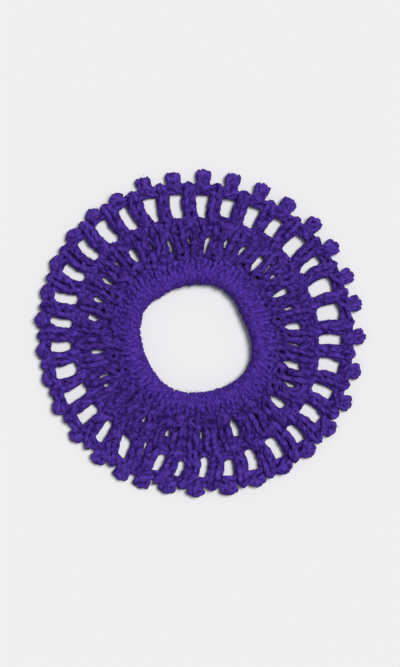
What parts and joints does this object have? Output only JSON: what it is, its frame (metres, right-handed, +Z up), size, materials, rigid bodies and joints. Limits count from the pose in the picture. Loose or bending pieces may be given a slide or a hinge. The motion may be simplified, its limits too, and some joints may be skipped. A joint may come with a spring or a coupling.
{
  "type": "crochet hair snood",
  "caption": "Flat lace ring crocheted in rounds on a covered hair elastic, worn round a bun or ponytail, with knobbed picots round its rim.",
  "frame": {"origin": "on the surface that the snood lies on, under the middle of its bounding box", "axes": "+Z up, through the central opening; +Y toward the top of the snood as laid out, with clock angles counted clockwise from +Y seen from above"},
  "size_m": [0.1354, 0.1342, 0.0074],
  "materials": {
    "yarn": "matte",
    "elastic": "matte"
  },
  "bodies": {
    "root": {"hair_elastic": "elastic", "base_round": "yarn", "inner_round": "yarn", "outer_round": "yarn", "picot_01": "yarn", "picot_02": "yarn", "picot_03": "yarn", "picot_04": "yarn", "picot_05": "yarn", "picot_06": "yarn", "picot_07": "yarn", "picot_08": "yarn", "picot_09": "yarn", "picot_10": "yarn", "picot_11": "yarn", "picot_12": "yarn", "picot_13": "yarn", "picot_14": "yarn", "picot_15": "yarn", "picot_16": "yarn", "picot_17": "yarn", "picot_18": "yarn", "picot_19": "yarn", "picot_20": "yarn", "picot_21": "yarn", "picot_22": "yarn", "picot_23": "yarn", "picot_24": "yarn", "picot_25": "yarn", "picot_26": "yarn", "picot_27": "yarn", "picot_28": "yarn", "picot_29": "yarn", "picot_30": "yarn", "picot_31": "yarn", "picot_32": "yarn", "picot_33": "yarn"}
  },
  "joints": []
}
